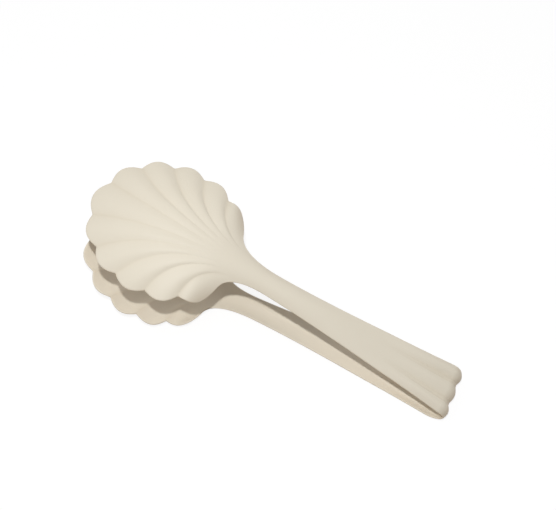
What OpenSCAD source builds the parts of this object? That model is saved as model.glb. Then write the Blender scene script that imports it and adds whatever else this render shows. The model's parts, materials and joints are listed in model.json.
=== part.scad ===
// Salad tongs: two scallop-shell heads on channel-section handles, joined by a fluted spring bow.
// The tongs lie on the lower arm. X runs from the bow to the shell tips, Y across, Z up.
// The origin is on the table under the middle of the part.

/* [Sheet] */
// Thickness of the pressed sheet
sheet_t = 1.2; // [0.8:0.1:1.8]

/* [Bow and handles] */
// Radius of the bow's outer face in the flute grooves
bow_r = 9; // [7.5:0.1:11]
// Half of the angle between the two arms at rest
half_open = 9.1; // [7:0.1:12]
// Half width of the strip at the bow
tail_half_w = 16; // [13:0.1:19]
// Half width of the handle where the neck starts
neck_half_w = 7.2; // [6:0.1:8.5]
// Distance from the bow's axis to the start of the neck
neck_x = 130; // [124:1:136]
// How early the handle tapers: 1 is a straight taper
taper_power = 1.45; // [1:0.05:1.8]
// Height of the handle's crown over its edges at the neck
neck_crown = 3; // [2:0.1:4]
// How far the handle's edges sink from the tail to the neck
edge_drop = 1.6; // [1:0.1:2.2]
// Height of the tail flutes over the grooves between them
flute_h = 1.5; // [0.8:0.1:2]
// Place of a flute groove as a share of the half width
flute_at = 0.4; // [0.35:0.01:0.45]
// Width of a groove's flat floor as a share of the half width
flute_floor = 0.14; // [0.08:0.01:0.18]
// Distance from the bow's axis up to which the flutes keep their full height
flute_full = 8; // [4:1:15]
// Distance from the bow's axis at which the flutes have faded out
flute_end = 54; // [30:1:70]

/* [Shell outline] */
// Distance from the bow's axis to the middle of the shell
shell_x = 206.4; // [201:0.1:212]
// Distance from the shell's middle to the notches beside the tip
notch_r = 35.2; // [33:0.1:37]
// Growth of that distance towards the neck, per squared notch number
notch_grow = 0.67; // [0.5:0.01:0.8]
// Angle from the tip to the first notch
notch_first = 19.1; // [17:0.1:21]
// Angle from the first notch to the second, before easing
notch_step = 34.3; // [32:0.1:36]
// Easing of the angle towards the neck, per squared notch number
notch_ease = 1.45; // [1.2:0.01:1.7]
// Bulge of a lobe's edge as a share of its chord
lobe_bulge = 0.235; // [0.16:0.005:0.28]
// Distance from the bow's axis to the foot of the last lobe
foot_x = 157.6; // [154:0.1:161]
// Half distance between the feet of the last lobes
foot_y = 19.8; // [17:0.1:22]
// How far the last lobes' bulge leans from the foot towards the last notch
foot_skew = 0.1; // [0:0.01:0.4]
// Distance from the bow's axis to the corner of the neck fillet
fillet_x = 157; // [151:0.1:157]

/* [Shell form] */
// Distance from the bow's axis at which the crest starts to bend inward
crest_x = 166.2; // [162:0.1:170]
// Radius of the crest's bend along the shell
crest_r = 126; // [115:1:150]
// Rise of the crest from the neck to the shell's belly
belly_rise = 0.7; // [0.4:0.1:1]
// Radius of the shell across its middle line
shell_r = 79.4; // [65:0.1:95]
// Distance from the bow's axis at which the shell's own cross radius is reached
fall_x = 172; // [165:0.1:178]
// Height of a rib over its grooves at the rim
rib_h = 1.7; // [1:0.1:2.5]
// Share of the way from neck to rim at which the middle rib starts
rib_start = 0.22; // [0.1:0.01:0.35]
// How much later each next rib starts
rib_late = 0.02; // [0:0.005:0.04]
// How gently a rib starts: 1 is a straight rise
rib_power = 1.2; // [1:0.05:2]
// How far the outermost ribs fall towards the edge: 1 is down to the groove floor
edge_fall = 0.5; // [0.3:0.05:1]
// Softness of the groove floors between ribs
groove_soft = 0.16; // [0.08:0.01:0.25]
// How far the middle ribs run straight before they fan out
fan_reach = 73; // [60:1:80]
// How late that distance shortens towards the outer ribs
fan_power = 2.6; // [2.5:0.1:4]

/* [Finish] */
// Colour of the matte coat
coat = [0.86, 0.81, 0.71];

/* [Hidden] */

// Notches on each side of the tip
side_notches = 5;
// Rib coordinate of the handle's edge: the middle lobe runs from minus a half to a half
q_edge = side_notches + 0.5;
lobe_steps = 8;
cols = 2 * q_edge * lobe_steps;
handle_rows = 10;
shell_rows = 14;
rows = handle_rows + shell_rows;
// Rows crowd towards the tail, where the flutes fade
row_crowd = 1.6;
// The cross fall starts to change this far before the neck
fall_lead = 5;
slope_step = 0.1;

function ramp(a, b, x) = let (t = max(0, min(1, (x - a) / (b - a)))) t * t * (3 - 2 * t);

// Handle: half width, crown and the smooth form without flutes and ribs
function half_w(x) = neck_half_w + (tail_half_w - neck_half_w) * (1 - min(1, x / neck_x)) ^ taper_power;
function crown(x) = neck_crown * ramp(0, neck_x, x);
function fall(x) =
    let (s = ramp(neck_x - fall_lead, fall_x, x))
    (1 - s) * crown(x) / half_w(x) ^ 2 + s / (2 * shell_r);
function crest(x) =
    let (past = max(0, x - crest_x))
    bow_r + crown(x) - edge_drop * ramp(0, neck_x, x) + belly_rise * ramp(neck_x, crest_x, x)
    - (crest_r - sqrt(crest_r ^ 2 - past ^ 2));
function form(x, y) = crest(x) - fall(x) * y ^ 2;

// Three flutes across the tail, the middle one between the two grooves, the outer ones between groove and edge
function flute(e) =
    let (
        a = abs(e),
        lo = flute_at - flute_floor / 2,
        hi = flute_at + flute_floor / 2,
        out = max(0, (a - hi) / (1 - hi))
    )
    flute_h * (a < lo ? cos(90 * a / lo) : sin(180 * out));
function flute_fade(x) = 1 - ramp(flute_full, flute_end, x);

// Shell outline: notches on a widening arc round the shell's middle, lobes bulging between them
function notch(k) =
    let (a = notch_first + notch_step * k - notch_ease * k ^ 2, r = notch_r + notch_grow * k ^ 2)
    [shell_x + r * cos(a), r * sin(a)];
function knot(k) =
    k < 0 ? [knot(-1 - k).x, -knot(-1 - k).y] : k < side_notches ? notch(k) : [foot_x, foot_y];
function lean(k) = k == side_notches - 1 ? foot_skew : k == -side_notches - 1 ? -foot_skew : 0;
function rim(q) =
    let (
        k = min(side_notches - 1, floor(q - 0.5)),
        s = q - 0.5 - k,
        d = knot(k + 1) - knot(k),
        bulge = 4 * s * (1 - s) * (1 + lean(k) * (1 - 2 * s))
    )
    knot(k) + d * s + [d.y, -d.x] * lobe_bulge * bulge;

// Each rib line leaves the neck along the handle and bends out to the rim
function fan(q, v) =
    let (
        start = [neck_x, neck_half_w * q / q_edge],
        reach = fan_reach + (fillet_x - neck_x - fan_reach) * abs(q / q_edge) ^ fan_power
    )
    (1 - v) ^ 2 * start + 2 * v * (1 - v) * (start + [reach, 0]) + v ^ 2 * rim(q);
function rib(q) =
    let (
        past = max(0, abs(q) - side_notches),
        wave = cos(180 * (abs(q) - past + past * edge_fall))
    )
    (sqrt(wave ^ 2 + groove_soft ^ 2) - groove_soft) / (sqrt(1 + groove_soft ^ 2) - groove_soft);
function rib_rise(q, v) =
    let (start = rib_start + rib_late * abs(q))
    rib_h * (max(0, v - start) / (1 - start)) ^ rib_power;

// Outer face of an arm, and the same point moved through the sheet
function handle_point(q, x) =
    let (e = q / q_edge, y = half_w(x) * e)
    [x, y, form(x, y) + flute_fade(x) * flute(e)];
function shell_point(q, v) =
    let (p = fan(q, v))
    [p.x, p.y, form(p.x, p.y) + rib_rise(q, v) * rib(q)];
function arm_point(q, r) =
    r <= handle_rows
    ? handle_point(q, neck_x * (r / handle_rows) ^ row_crowd)
    : shell_point(q, (r - handle_rows) / shell_rows);
function through(p) =
    let (
        slope_x = (form(p.x + slope_step, p.y) - form(p.x - slope_step, p.y)) / (2 * slope_step),
        slope_y = -2 * fall(p.x) * p.y
    )
    p + sheet_t * [slope_x, slope_y, -1] / norm([slope_x, slope_y, 1]);

outer = [for (r = [0 : rows]) for (j = [0 : cols]) arm_point(j / lobe_steps - q_edge, r)];
inner = [for (p = outer) through(p)];
inner_start = len(outer);

function at(r, j) = r * (cols + 1) + j;
// Two triangles of one grid square, cut so that both halves of the arm mirror each other
function square(r, j) =
    j < cols / 2
    ? [[at(r, j), at(r + 1, j), at(r, j + 1)], [at(r, j + 1), at(r + 1, j), at(r + 1, j + 1)]]
    : [[at(r, j), at(r + 1, j), at(r + 1, j + 1)], [at(r, j), at(r + 1, j + 1), at(r, j + 1)]];
function wall(a, b) = [[a, b, inner_start + b], [a, inner_start + b, inner_start + a]];
squares = [for (r = [0 : rows - 1]) for (j = [0 : cols - 1]) each square(r, j)];
walls = [
    for (j = [0 : cols - 1]) each wall(at(0, j), at(0, j + 1)),
    for (r = [0 : rows - 1]) each wall(at(r, cols), at(r + 1, cols)),
    for (j = [0 : cols - 1]) each wall(at(rows, j + 1), at(rows, j)),
    for (r = [0 : rows - 1]) each wall(at(r + 1, 0), at(r, 0))
];
arm_faces = concat(squares, [for (t = squares) [for (i = [2 : -1 : 0]) inner_start + t[i]]], walls);

// The lower arm is pitched until its belly and the bow both touch the table
bow_out = bow_r + flute_h;
rest_pitch = max([
    for (p = outer) if (p.x > neck_x / 2) acos(bow_out / norm([p.x, p.z])) - atan2(p.x, p.z)
]);
reach_x = max([for (p = outer) p.x * cos(rest_pitch) + p.z * sin(rest_pitch)]);
bow_x = (bow_out - reach_x) / 2;
bow_span = 180 - 2 * half_open;
bow_fn = 96;

module at_bow(pitch) {
    translate([bow_x, 0, bow_out])
        rotate([0, -pitch, 0])
            children();
}

module arm() {
    polyhedron(points = concat(outer, inner), faces = arm_faces);
}

// Cross-section of the strip at the tail: distance from the bow's axis against place across
module tail_section() {
    edge = [for (j = [0 : cols]) arm_point(j / lobe_steps - q_edge, 0)];
    polygon(concat(
        [for (p = edge) [p.z, p.y]],
        [for (j = [cols : -1 : 0]) [edge[j].z - sheet_t, edge[j].y]]
    ));
}

module lower_arm() {
    color(coat)
        at_bow(rest_pitch)
            mirror([0, 0, 1])
                arm();
}

module spring_bow() {
    color(coat)
        at_bow(rest_pitch + half_open)
            rotate([90, 0, 0])
                rotate([0, 0, 90 + half_open])
                    rotate_extrude(angle = bow_span, $fn = bow_fn)
                        tail_section();
}

module upper_arm() {
    color(coat)
        at_bow(rest_pitch + 2 * half_open)
            arm();
}

lower_arm();
spring_bow();
upper_arm();
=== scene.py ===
"""Looks of the scallop-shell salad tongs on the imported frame. Sizes in millimetres, meshes in metres."""
import json
import math

import bmesh
import bpy
import numpy as np
from mathutils import Matrix


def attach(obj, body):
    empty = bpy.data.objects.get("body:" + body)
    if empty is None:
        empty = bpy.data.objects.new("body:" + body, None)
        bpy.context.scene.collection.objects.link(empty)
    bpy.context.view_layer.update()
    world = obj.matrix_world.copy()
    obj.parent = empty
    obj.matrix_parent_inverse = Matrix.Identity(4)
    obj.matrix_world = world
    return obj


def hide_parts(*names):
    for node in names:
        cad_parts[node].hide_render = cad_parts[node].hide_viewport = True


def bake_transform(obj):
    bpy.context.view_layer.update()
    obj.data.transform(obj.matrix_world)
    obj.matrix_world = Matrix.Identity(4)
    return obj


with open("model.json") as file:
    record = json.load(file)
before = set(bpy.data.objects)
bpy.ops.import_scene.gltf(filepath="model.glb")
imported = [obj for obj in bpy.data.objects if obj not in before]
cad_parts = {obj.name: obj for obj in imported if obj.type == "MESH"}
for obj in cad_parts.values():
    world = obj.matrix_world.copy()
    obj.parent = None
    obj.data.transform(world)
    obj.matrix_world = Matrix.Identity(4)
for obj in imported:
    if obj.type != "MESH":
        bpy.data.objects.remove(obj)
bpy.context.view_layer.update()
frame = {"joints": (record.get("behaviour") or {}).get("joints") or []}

# Lower arm
# One pressing of thin steel sheet: shell head, neck and channel handle, coated matte cream.
# It lies with its shell's belly on the table, and its tail runs on into the bow.
MM = 0.001
SHEET = 1.2
BOW_R = 9.0
TAIL_HALF_W, NECK_HALF_W, NECK_X, TAPER_POWER = 16.0, 7.2, 130.0, 1.45
NECK_CROWN, EDGE_DROP = 3.0, 1.6
FLUTE_H, FLUTE_AT, FLUTE_FLOOR, FLUTE_FULL, FLUTE_END = 1.5, 0.40, 0.14, 8.0, 54.0
SHELL_X, NOTCH_R, NOTCH_GROW = 206.4, 35.2, 0.67
NOTCH_FIRST, NOTCH_STEP, NOTCH_EASE = 19.1, 34.3, 1.45
LOBE_BULGE, NOTCH_SOFT, FOOT_SKEW = 0.235, 0.06, 0.1
FOOT_X, FOOT_Y, FILLET_X = 157.6, 19.8, 157.0
CREST_X, CREST_R, BELLY_RISE = 166.2, 126.0, 0.7
SHELL_R, FALL_X, FALL_LEAD = 79.4, 172.0, 5.0
RIB_H, RIB_START, RIB_LATE, RIB_POWER = 1.7, 0.22, 0.02, 1.2
EDGE_FALL, GROOVE_SOFT, FAN_REACH, FAN_POWER = 0.5, 0.16, 73.0, 2.6
SIDE_NOTCHES = 5
# Across the arm, q counts ribs from the middle one to the edge, and e is q as a share of the half width.
# Along it, x runs from the bow's axis, and v from 0 at the neck to 1 at the rim.
Q_EDGE = SIDE_NOTCHES + 0.5
# Degrees by which the lower arm is pitched up, so that its belly and the bow both touch the table
REST_PITCH = 0.220718
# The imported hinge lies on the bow's axis
BOW_AXIS = np.array(frame["joints"][0]["pos_m"]) / MM
# Turns of the points on a rounded sheet edge, from near the face to the middle of the sheet
EDGE_TURN = np.radians([60.0, 30.0, 0.0])
# Angle past which an edge shades sharp, gap at which points merge, and a length too small to count
SHARP_ANGLE, WELD, TINY = math.radians(55), 1e-4, 1e-12


def ramp(a, b, x):
    """Smooth step from 0 at a to 1 at b."""
    t = np.clip((x - a) / (b - a), 0, 1)
    return t * t * (3 - 2 * t)


def soft_fold(wave, soft):
    """A wave from 0 to 1 whose sharp zero is rounded off by soft."""
    return (np.sqrt(wave ** 2 + soft ** 2) - soft) / (math.sqrt(1 + soft ** 2) - soft)


def half_w(x):
    """Half width of the handle: a taper from tail to neck that eases off towards the neck."""
    return NECK_HALF_W + (TAIL_HALF_W - NECK_HALF_W) * (1 - np.minimum(1, x / NECK_X)) ** TAPER_POWER


def form(x, y):
    """Smooth outer form: a crest line along the arm, minus a parabolic fall to both sides."""
    grow = ramp(0, NECK_X, x)
    s = ramp(NECK_X - FALL_LEAD, FALL_X, x)
    crown = NECK_CROWN * grow
    fall = (1 - s) * crown / half_w(x) ** 2 + s / (2 * SHELL_R)
    past = np.maximum(0, x - CREST_X)
    crest = BOW_R + crown - EDGE_DROP * grow + BELLY_RISE * ramp(NECK_X, CREST_X, x)
    return crest - (CREST_R - np.sqrt(CREST_R ** 2 - past ** 2)) - fall * y ** 2


def flute(e):
    """Height across the strip: half a cosine in the middle, half a sine on each side, and the
    flat groove floors between them."""
    a = np.abs(e)
    lo, hi = FLUTE_AT - FLUTE_FLOOR / 2, FLUTE_AT + FLUTE_FLOOR / 2
    out = np.clip((a - hi) / (1 - hi), 0, 1)
    return FLUTE_H * np.where(a < lo, np.cos(np.pi / 2 * np.minimum(1, a / lo)), np.sin(np.pi * out))


def rim(q):
    """Shell outline: notches on a widening arc round the shell's middle, a parabola bulging between
    each two, and the last lobes' bulge skewed towards their notch so that they run out to the neck."""
    k = np.arange(SIDE_NOTCHES)
    angle = np.radians(NOTCH_FIRST + NOTCH_STEP * k - NOTCH_EASE * k ** 2)
    radius = NOTCH_R + NOTCH_GROW * k ** 2
    side = np.stack([SHELL_X + radius * np.cos(angle), radius * np.sin(angle)], 1)
    side = np.concatenate([side, [[FOOT_X, FOOT_Y]]])
    knots = np.concatenate([side[::-1] * [1, -1], side])
    i = np.clip(np.floor(q + Q_EDGE).astype(int), 0, len(knots) - 2)
    s = (q + Q_EDGE - i)[:, None]
    chord = knots[i + 1] - knots[i]
    out = np.stack([chord[:, 1], -chord[:, 0]], 1)
    skew = FOOT_SKEW * ((i == len(knots) - 2) * 1.0 - (i == 0))[:, None]
    bulge = 4 * s * (1 - s) * (1 + skew * (1 - 2 * s))
    return knots[i] + chord * s + out * LOBE_BULGE * soft_fold(bulge, NOTCH_SOFT)


def rib_rise(q, v):
    """Share of a rib's full height: a power of the way from its start to the rim. Outer ribs
    start later."""
    start = RIB_START + RIB_LATE * np.abs(q)
    return (np.maximum(0, v - start) / (1 - start)) ** RIB_POWER


def rib(q):
    """Height across the ribs as a share: a folded cosine with soft grooves. The outermost ribs fall
    off towards the edge only in part."""
    past = np.maximum(0, np.abs(q) - SIDE_NOTCHES)
    return soft_fold(np.cos(np.pi * (np.abs(q) - past + past * EDGE_FALL)), GROOVE_SOFT)


def arm_grid(q, handle_x, shell_v):
    """Outer face of an arm as rows from tail to rim: straight rows on the handle, then points on
    quadratic rib lines that leave the neck along the handle and bend out to the rim."""
    e = q / Q_EDGE
    x = np.broadcast_to(handle_x[:, None], (len(handle_x), len(q)))
    y = half_w(x) * e
    lift = (1 - ramp(FLUTE_FULL, FLUTE_END, x)) * flute(e)
    handle = np.stack([x, y, form(x, y) + lift], 2)
    reach = FAN_REACH + (FILLET_X - NECK_X - FAN_REACH) * np.abs(e) ** FAN_POWER
    start = np.stack([np.full(len(q), NECK_X), NECK_HALF_W * e], 1)
    bend = start + np.stack([reach, 0 * reach], 1)
    v = shell_v[:, None, None]
    plan = (1 - v) ** 2 * start + 2 * v * (1 - v) * bend + v ** 2 * rim(q)
    relief = RIB_H * rib_rise(q, shell_v[:, None]) * rib(q)
    height = form(plan[..., 0], plan[..., 1]) + relief
    return np.concatenate([handle, np.concatenate([plan, height[..., None]], 2)])


def unit(v):
    """Vectors scaled to length one."""
    return v / np.maximum(np.linalg.norm(v, axis=-1, keepdims=True), TINY)


def arm_rings(grid):
    """Closed sections of the sheet from tail to rim: outer face, rounded edge, inner face, rounded
    edge; then the rounded rim, where each section shrinks to the sheet's middle."""
    along, across = np.gradient(grid, axis=0), np.gradient(grid, axis=1)
    normal = unit(np.cross(along, across))
    # The grid is pinched at the two ends of the rim, so their normals come from beside them
    normal[-1, 0], normal[-1, -1] = normal[-2, 1], normal[-2, -2]
    half = SHEET / 2
    mid = grid - normal * half
    left = unit(np.cross(along[:, 0], normal[:, 0]))
    right = unit(np.cross(normal[:, -1], along[:, -1]))
    tip = unit(np.cross(across[-1], normal[-1]))
    tip *= np.sign((tip * along[-1]).sum(1).mean())
    left *= np.sign(-left[0, 1])
    right *= np.sign(right[0, 1])
    left[-1], right[-1] = tip[0], tip[-1]

    def section(i, turn, reach):
        """One ring: both faces at the given turn of the edge, and both edges' arcs within it."""
        face = mid[i] + half * (math.cos(turn) * reach + math.sin(turn) * normal[i])
        back = mid[i] + half * (math.cos(turn) * reach - math.sin(turn) * normal[i])
        arcs = []
        for j, out in ((-1, right[i]), (0, left[i])):
            a = np.clip(np.concatenate([EDGE_TURN, -EDGE_TURN[-2::-1]]), -turn, turn)
            arc = mid[i, j] + half * (np.cos(a)[:, None] * out + np.sin(a)[:, None] * normal[i, j])
            arcs.append(arc if j else arc[::-1])
        return np.concatenate([face, arcs[0], back[::-1], arcs[1]])

    rows = [section(i, math.pi / 2, np.zeros_like(tip)) for i in range(len(grid))]
    rows += [section(len(grid) - 1, t, tip) for t in EDGE_TURN]
    return np.array(rows)


def pitched(points, degrees, mirror=1.0):
    """Arm points, turned over if mirror is minus one, pitched up about the bow's axis, in metres."""
    a = math.radians(degrees)
    x, y, z = points[..., 0], points[..., 1], points[..., 2] * mirror
    turned = np.stack([x * math.cos(a) - z * math.sin(a), y, x * math.sin(a) + z * math.cos(a)], -1)
    return (turned + BOW_AXIS) * MM


def sheet_object(name, rings, close_last, groove):
    """Object whose mesh joins successive closed rings, with a cap on the first and, if asked, on the
    last. Each point keeps its share of the painted shade in the grooves for the coat."""
    rows, ring = rings.shape[:2]
    i, j = np.meshgrid(np.arange(rows - 1), np.arange(ring), indexing="ij")
    here, there, turn = i * ring, (i + 1) * ring, (j + 1) % ring
    quads = np.stack([here + j, here + turn, there + turn, there + j], -1).reshape(-1, 4)
    points = rings.reshape(-1, 3)
    a, b, c, d = (points[quads[:, k]] for k in range(4))
    volume = (a * np.cross(b, c)).sum() + (a * np.cross(c, d)).sum()
    caps = [np.arange(ring)[::-1]] + ([np.arange(ring) + (rows - 1) * ring] if close_last else [])
    step = 1 if volume > 0 else -1
    mesh = bpy.data.meshes.new(name)
    mesh.from_pydata(points.tolist(), [], [f[::step].tolist() for f in list(quads) + caps])
    layer = mesh.attributes.new("groove", "FLOAT", "POINT")
    layer.data.foreach_set("value", groove.astype(np.float32).ravel())
    work = bmesh.new()
    work.from_mesh(mesh)
    bmesh.ops.remove_doubles(work, verts=work.verts, dist=WELD * MM)
    work.to_mesh(mesh)
    work.free()
    mesh.polygons.foreach_set("use_smooth", np.ones(len(mesh.polygons), bool))
    mesh.set_sharp_from_angle(angle=SHARP_ANGLE)
    mesh.update()
    thing = bpy.data.objects.new(name, mesh)
    bpy.context.scene.collection.objects.link(thing)
    return thing


class Wire:
    """A node output that takes part in shader arithmetic: every operator adds one Math node.
    Without a socket it only makes nodes."""

    def __init__(self, tree, socket=None):
        self.tree, self.socket = tree, socket

    def make(self, kind, settings=None, inputs=None, out=0):
        """Adds a node of any kind with its settings and inputs, and returns one of its outputs."""
        node = self.tree.nodes.new(kind)
        for key, value in (settings or {}).items():
            setattr(node, key, value)
        for key, value in (inputs or {}).items():
            if isinstance(value, Wire):
                self.tree.links.new(value.socket, node.inputs[key])
            else:
                node.inputs[key].default_value = value
        return Wire(self.tree, node.outputs[out]) if len(node.outputs) else node

    def math(self, operation, a, b=0.0):
        """Adds one Math node that works on two values or links."""
        return self.make("ShaderNodeMath", {"operation": operation}, {0: a, 1: b})

    def __add__(self, other):
        return self.math("ADD", self, other)

    def __sub__(self, other):
        return self.math("SUBTRACT", self, other)

    def __rsub__(self, other):
        return self.math("SUBTRACT", other, self)

    def __mul__(self, other):
        return self.math("MULTIPLY", self, other)

    def __pow__(self, other):
        return self.math("POWER", self, other)

    def __rpow__(self, other):
        return self.math("POWER", other, self)

    __radd__, __rmul__ = __add__, __mul__


def noise(nodes, cells, detail, rough=0.55):
    """Noise from 0 to 1 over the object's own coordinates, with a number of cells per metre."""
    place = nodes.make("ShaderNodeTexCoord", out="Object")
    return nodes.make("ShaderNodeTexNoise", {"noise_dimensions": "3D"},
                      {"Vector": place, "Scale": cells, "Detail": detail, "Roughness": rough}, "Fac")


# The deep colour serves both as the coat's own random darker tone and as painted shade in the grooves
COAT, COAT_DEEP_AND_SHADE = (0.795, 0.735, 0.615, 1.0), (0.74, 0.672, 0.545, 1.0)
COAT_IOR, COAT_SPECULAR = 1.5, 0.35
# The coat's roughness, and how far its broad clouds and its fine peel change it
COAT_ROUGH, CLOUD_ROUGH, PEEL_ROUGH = 0.52, 0.1, 0.08
# How far the painted shade in the grooves, the clouds and the specks pull the colour towards the deep one
GROOVE_SHADE, CLOUD_TINT, SPECK_TINT, EVEN_TINT = 0.8, 0.5, 0.25, 0.1
# Height of the peel, the bump's strength, and the specks' height as a share of the peel's
PEEL_HEIGHT, PEEL_STRENGTH, SPECK_SHARE = 0.08, 0.5, 0.3
# Cells per metre and detail of each noise
CLOUD_CELLS, CLOUD_DETAIL = 45.0, 3.0
PEEL_CELLS, PEEL_DETAIL = 900.0, 2.0
SPECK_CELLS, SPECK_DETAIL = 3200.0, 1.0
coat = bpy.data.materials.new("cream_coat")
coat.use_nodes = True
coat.node_tree.nodes.clear()
nodes = Wire(coat.node_tree)
cloud = noise(nodes, CLOUD_CELLS, CLOUD_DETAIL)
peel = noise(nodes, PEEL_CELLS, PEEL_DETAIL)
speck = noise(nodes, SPECK_CELLS, SPECK_DETAIL)
# The groove share paints shade into the creases of the ribs and flutes; clouds and specks vary the coat's
# own tone
groove_shade_share = nodes.make("ShaderNodeAttribute", {"attribute_name": "groove"}, out="Fac")
deep_and_shade = groove_shade_share * GROOVE_SHADE + (cloud - 0.5) * CLOUD_TINT + (speck - 0.5) * SPECK_TINT + EVEN_TINT
deep_and_shade = nodes.math("MAXIMUM", nodes.math("MINIMUM", deep_and_shade, 1.0), 0.0)
tint = nodes.make("ShaderNodeMix", {"data_type": "RGBA"}, {"Factor": deep_and_shade, 6: COAT, 7: COAT_DEEP_AND_SHADE}, 2)
rough = (cloud - 0.5) * CLOUD_ROUGH + (peel - 0.5) * PEEL_ROUGH + COAT_ROUGH
grain = peel + speck * SPECK_SHARE
relief = nodes.make("ShaderNodeBump", None,
                    {"Strength": PEEL_STRENGTH, "Distance": PEEL_HEIGHT * MM, "Height": grain})
skin = nodes.make("ShaderNodeBsdfPrincipled", None,
                  {"Base Color": tint, "Roughness": rough, "Normal": relief,
                   "IOR": COAT_IOR, "Specular IOR Level": COAT_SPECULAR})
nodes.make("ShaderNodeOutputMaterial", None, {"Surface": skin})

# Columns to a lobe, rows of the handle and the shell, and a row close to the seam that keeps it smooth
LOBE_COLS, HANDLE_ROWS, SHELL_ROWS, SEAM = 18, 56, 84, 0.05
# How columns crowd at the notches and rows at the tail, and how narrow the lines of painted shade along
# the grooves are
NOTCH_CROWD, TAIL_CROWD, LINE_POWER = 0.1, 1.3, 4
steps = np.arange(LOBE_COLS) / LOBE_COLS
lobe = steps - NOTCH_CROWD * np.sin(2 * np.pi * steps)
lobes = 2 * SIDE_NOTCHES + 1
q_cols = np.append((np.arange(lobes)[:, None] + lobe).ravel(), lobes) - Q_EDGE
handle_x = np.insert(NECK_X * (np.arange(HANDLE_ROWS + 1) / HANDLE_ROWS) ** TAIL_CROWD, 1, SEAM)
shell_v = np.arange(1, SHELL_ROWS + 1) / SHELL_ROWS
arm = arm_rings(arm_grid(q_cols, handle_x, shell_v))
rib_fade = np.concatenate([0 * handle_x, ramp(RIB_START, 1, shell_v), np.ones(len(EDGE_TURN))])
flute_fade = np.concatenate([1 - ramp(FLUTE_FULL, FLUTE_END, handle_x), 0 * shell_v, 0 * EDGE_TURN])
edge_pad = np.zeros(2 * len(EDGE_TURN) - 1)
inside = np.abs(q_cols) < SIDE_NOTCHES
rib_shade_line = (1 - np.abs(np.cos(np.pi * q_cols))) ** LINE_POWER * inside
flute_shade_line = np.clip(1 - flute(q_cols / Q_EDGE) / FLUTE_H, 0, 1) ** LINE_POWER * inside


def around(line):
    """A row across the outer face carried round the section: outer face, edge, inner face, edge."""
    return np.concatenate([line, edge_pad, line[::-1], edge_pad])


# Painted shade along the rib grooves of the shell and the flute grooves of the handle, carried round onto
# the inner face
groove_shade_rows = rib_fade[:, None] * around(rib_shade_line) + flute_fade[:, None] * around(flute_shade_line)

lower = sheet_object("lower_arm_pressing", pitched(arm, REST_PITCH, -1.0), False, groove_shade_rows)
lower.data.materials.append(coat)
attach(lower, "lower")
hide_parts("lower_arm")

# Spring bow
# The same fluted strip bent round in a U behind the handles; it springs the arms apart.
# Both its ends run on into the arms, so it bends between them.
HALF_OPEN = 9.1
BOW_ROWS, SEAM_TURN = 64, 0.2
# Heights of two points set on the bow's axis
BLEND_LOW, BLEND_HIGH = 2.7, 16.0
span = 180 - 2 * HALF_OPEN
turns = np.linspace(0, span, BOW_ROWS + 1)
turns = np.concatenate([[0, SEAM_TURN], turns[1:-1], [span - SEAM_TURN, span]])
bow_rings = np.array([pitched(arm[0], REST_PITCH + 2 * HALF_OPEN + t) for t in turns])
bow_groove_shade = np.broadcast_to(around(flute_shade_line), bow_rings.shape[:2])
bow = sheet_object("spring_bow_strip", bow_rings, True, bow_groove_shade)
bow.data.materials.append(coat)
low_end, high_end = BOW_AXIS * MM, BOW_AXIS * MM
low_end[2], high_end[2] = BLEND_LOW * MM, BLEND_HIGH * MM
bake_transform(bow)
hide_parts("spring_bow")

# Upper arm
# The lower arm's twin, turned over, carried by the bow alone.
# Squeezing the handles swings it down until the shell tips all but meet.
upper = sheet_object("upper_arm_pressing", pitched(arm, REST_PITCH + 2 * HALF_OPEN), False, groove_shade_rows)
upper.data.materials.append(coat)
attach(upper, "upper")
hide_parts("upper_arm")

# Table
# Plain white studio table. The camera and the coat's sheen see it as white paper with a faint shadow.
# The light it sends back up to the tongs is warm.
WHITE = (1.0, 1.0, 1.0, 1.0)
TABLE_HALF, PAPER, GLOW = 3000.0, (0.16, 0.16, 0.16, 1.0), 0.88
BOUNCE = (0.58, 0.40, 0.24, 1.0)


def looked_at(nodes):
    """1 for rays from the camera, in a mirror image or through a clear body, 0 for light on things."""
    kinds = ("Is Camera Ray", "Is Glossy Ray", "Is Transmission Ray")
    direct, mirrored, through = (nodes.make("ShaderNodeLightPath", out=kind) for kind in kinds)
    return nodes.math("MINIMUM", direct + mirrored + through, 1.0)


table_mesh = bpy.data.meshes.new("table")
corners = np.array([(-1, -1, 0), (1, -1, 0), (1, 1, 0), (-1, 1, 0)]) * TABLE_HALF * MM
table_mesh.from_pydata(corners.tolist(), [], [(0, 1, 2, 3)])
table = bpy.data.objects.new("table", table_mesh)
bpy.context.scene.collection.objects.link(table)
paper = bpy.data.materials.new("paper")
paper.use_nodes = True
paper.node_tree.nodes.clear()
nodes = Wire(paper.node_tree)
sheet = nodes.make("ShaderNodeBsdfDiffuse", None, {"Color": PAPER})
glow = nodes.make("ShaderNodeEmission", None, {"Color": WHITE, "Strength": GLOW})
front = nodes.make("ShaderNodeAddShader", None, {0: sheet, 1: glow})
bounce = nodes.make("ShaderNodeBsdfDiffuse", None, {"Color": BOUNCE})
mixed = nodes.make("ShaderNodeMixShader", None, {"Fac": looked_at(nodes), 1: bounce, 2: front})
nodes.make("ShaderNodeOutputMaterial", None, {"Surface": mixed})
table.data.materials.append(paper)

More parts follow.
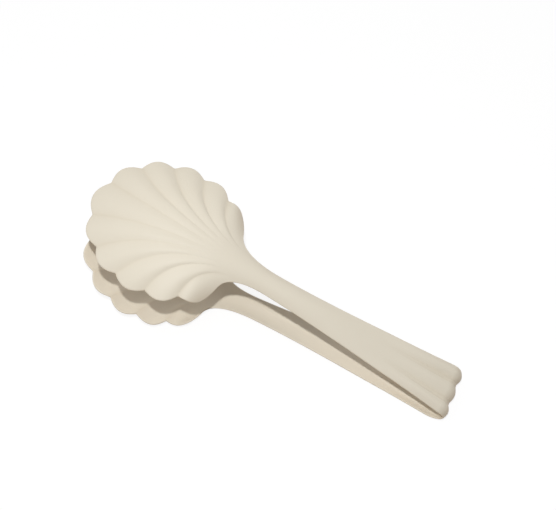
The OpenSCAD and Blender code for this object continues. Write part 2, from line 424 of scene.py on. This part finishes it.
# Light
# One small lamp just above the camera gives the narrow shadows and falls off towards the tail.
# A dim room is filled by wide soft panels: one over the shell tips, a low one behind the far side of the
# handles and a weak one behind the bow. A panel is its turn, rise, narrowness and strength.
LAMP_WATTS, LAMP_SIZE = 9.1, 16.0
LAMP_PLACE = np.array([-7.2, 143.1, 660.9])
ROOM = 0.02
PANELS = ((0.0, 45.0, 4.0, 1.2), (250.0, 8.0, 10.0, 1.8), (150.0, 20.0, 8.0, 0.4))
world = bpy.data.worlds.new("room")
bpy.context.scene.world = world
world.use_nodes = True
world.node_tree.nodes.clear()
nodes = Wire(world.node_tree)
towards = nodes.make("ShaderNodeTexCoord", out="Generated")
level = ROOM
for turn, rise, power, strength in PANELS:
    turn, rise = math.radians(turn), math.radians(rise)
    centre = (math.cos(turn) * math.cos(rise), math.sin(turn) * math.cos(rise), math.sin(rise))
    facing = nodes.make("ShaderNodeVectorMath", {"operation": "DOT_PRODUCT"},
                        {0: towards, 1: centre}, "Value")
    level = level + nodes.math("MAXIMUM", facing, 0.0) ** power * strength
sky = nodes.make("ShaderNodeBackground", None, {"Color": WHITE, "Strength": level})
wall = nodes.make("ShaderNodeBackground", None, {"Color": WHITE, "Strength": 1.0})
shown = nodes.make("ShaderNodeMixShader", None, {"Fac": looked_at(nodes), 1: sky, 2: wall})
nodes.make("ShaderNodeOutputWorld", None, {"Surface": shown})
lamp = bpy.data.lights.new("lamp", "POINT")
lamp.energy, lamp.shadow_soft_size = LAMP_WATTS, LAMP_SIZE / 2 * MM
lamp_object = bpy.data.objects.new("lamp", lamp)
bpy.context.scene.collection.objects.link(lamp_object)
lamp_object.location = (LAMP_PLACE * MM).tolist()

# Camera
# Still camera high above the near side of the tongs, rolled a little.
# Its focal length is in pixels of a frame 556 wide and 510 high.
VIEW_AZIMUTH, VIEW_ELEVATION, VIEW_ROLL = np.radians([-165.603, 67.938, -10.985])
VIEW_TARGET, VIEW_DISTANCE = np.array([9.114, -26.477, 40.0]), 600.0
FOCAL_PX, FRAME_W, SENSOR_W = 960.7, 556, 36.0
CLIP_NEAR, CLIP_FAR = 10.0, 20000.0


def axes(back, up):
    """Rotation whose local Z points along back and whose local Y leans towards up."""
    z = unit(np.array(back, float))
    x = unit(np.cross(up, z))
    return Matrix(np.stack([x, np.cross(z, x), z], 1).tolist())


camera = bpy.data.cameras.new("camera")
camera.sensor_width = SENSOR_W
camera.lens = FOCAL_PX / FRAME_W * SENSOR_W
camera.clip_start, camera.clip_end = CLIP_NEAR * MM, CLIP_FAR * MM
camera_object = bpy.data.objects.new("camera", camera)
bpy.context.scene.collection.objects.link(camera_object)
right = np.array([math.cos(VIEW_AZIMUTH), math.sin(VIEW_AZIMUTH), 0.0])
outward = np.array([right[1], -right[0], 0.0])
back = outward * math.cos(VIEW_ELEVATION) + np.array([0.0, 0.0, math.sin(VIEW_ELEVATION)])
up = np.cross(back, right)
up = math.cos(VIEW_ROLL) * up + math.sin(VIEW_ROLL) * right
pose = axes(back, up).to_4x4()
pose.translation = ((VIEW_TARGET + back * VIEW_DISTANCE) * MM).tolist()
camera_object.matrix_world = pose
bpy.context.scene.camera = camera_object
bpy.context.scene.view_settings.view_transform = "Standard"
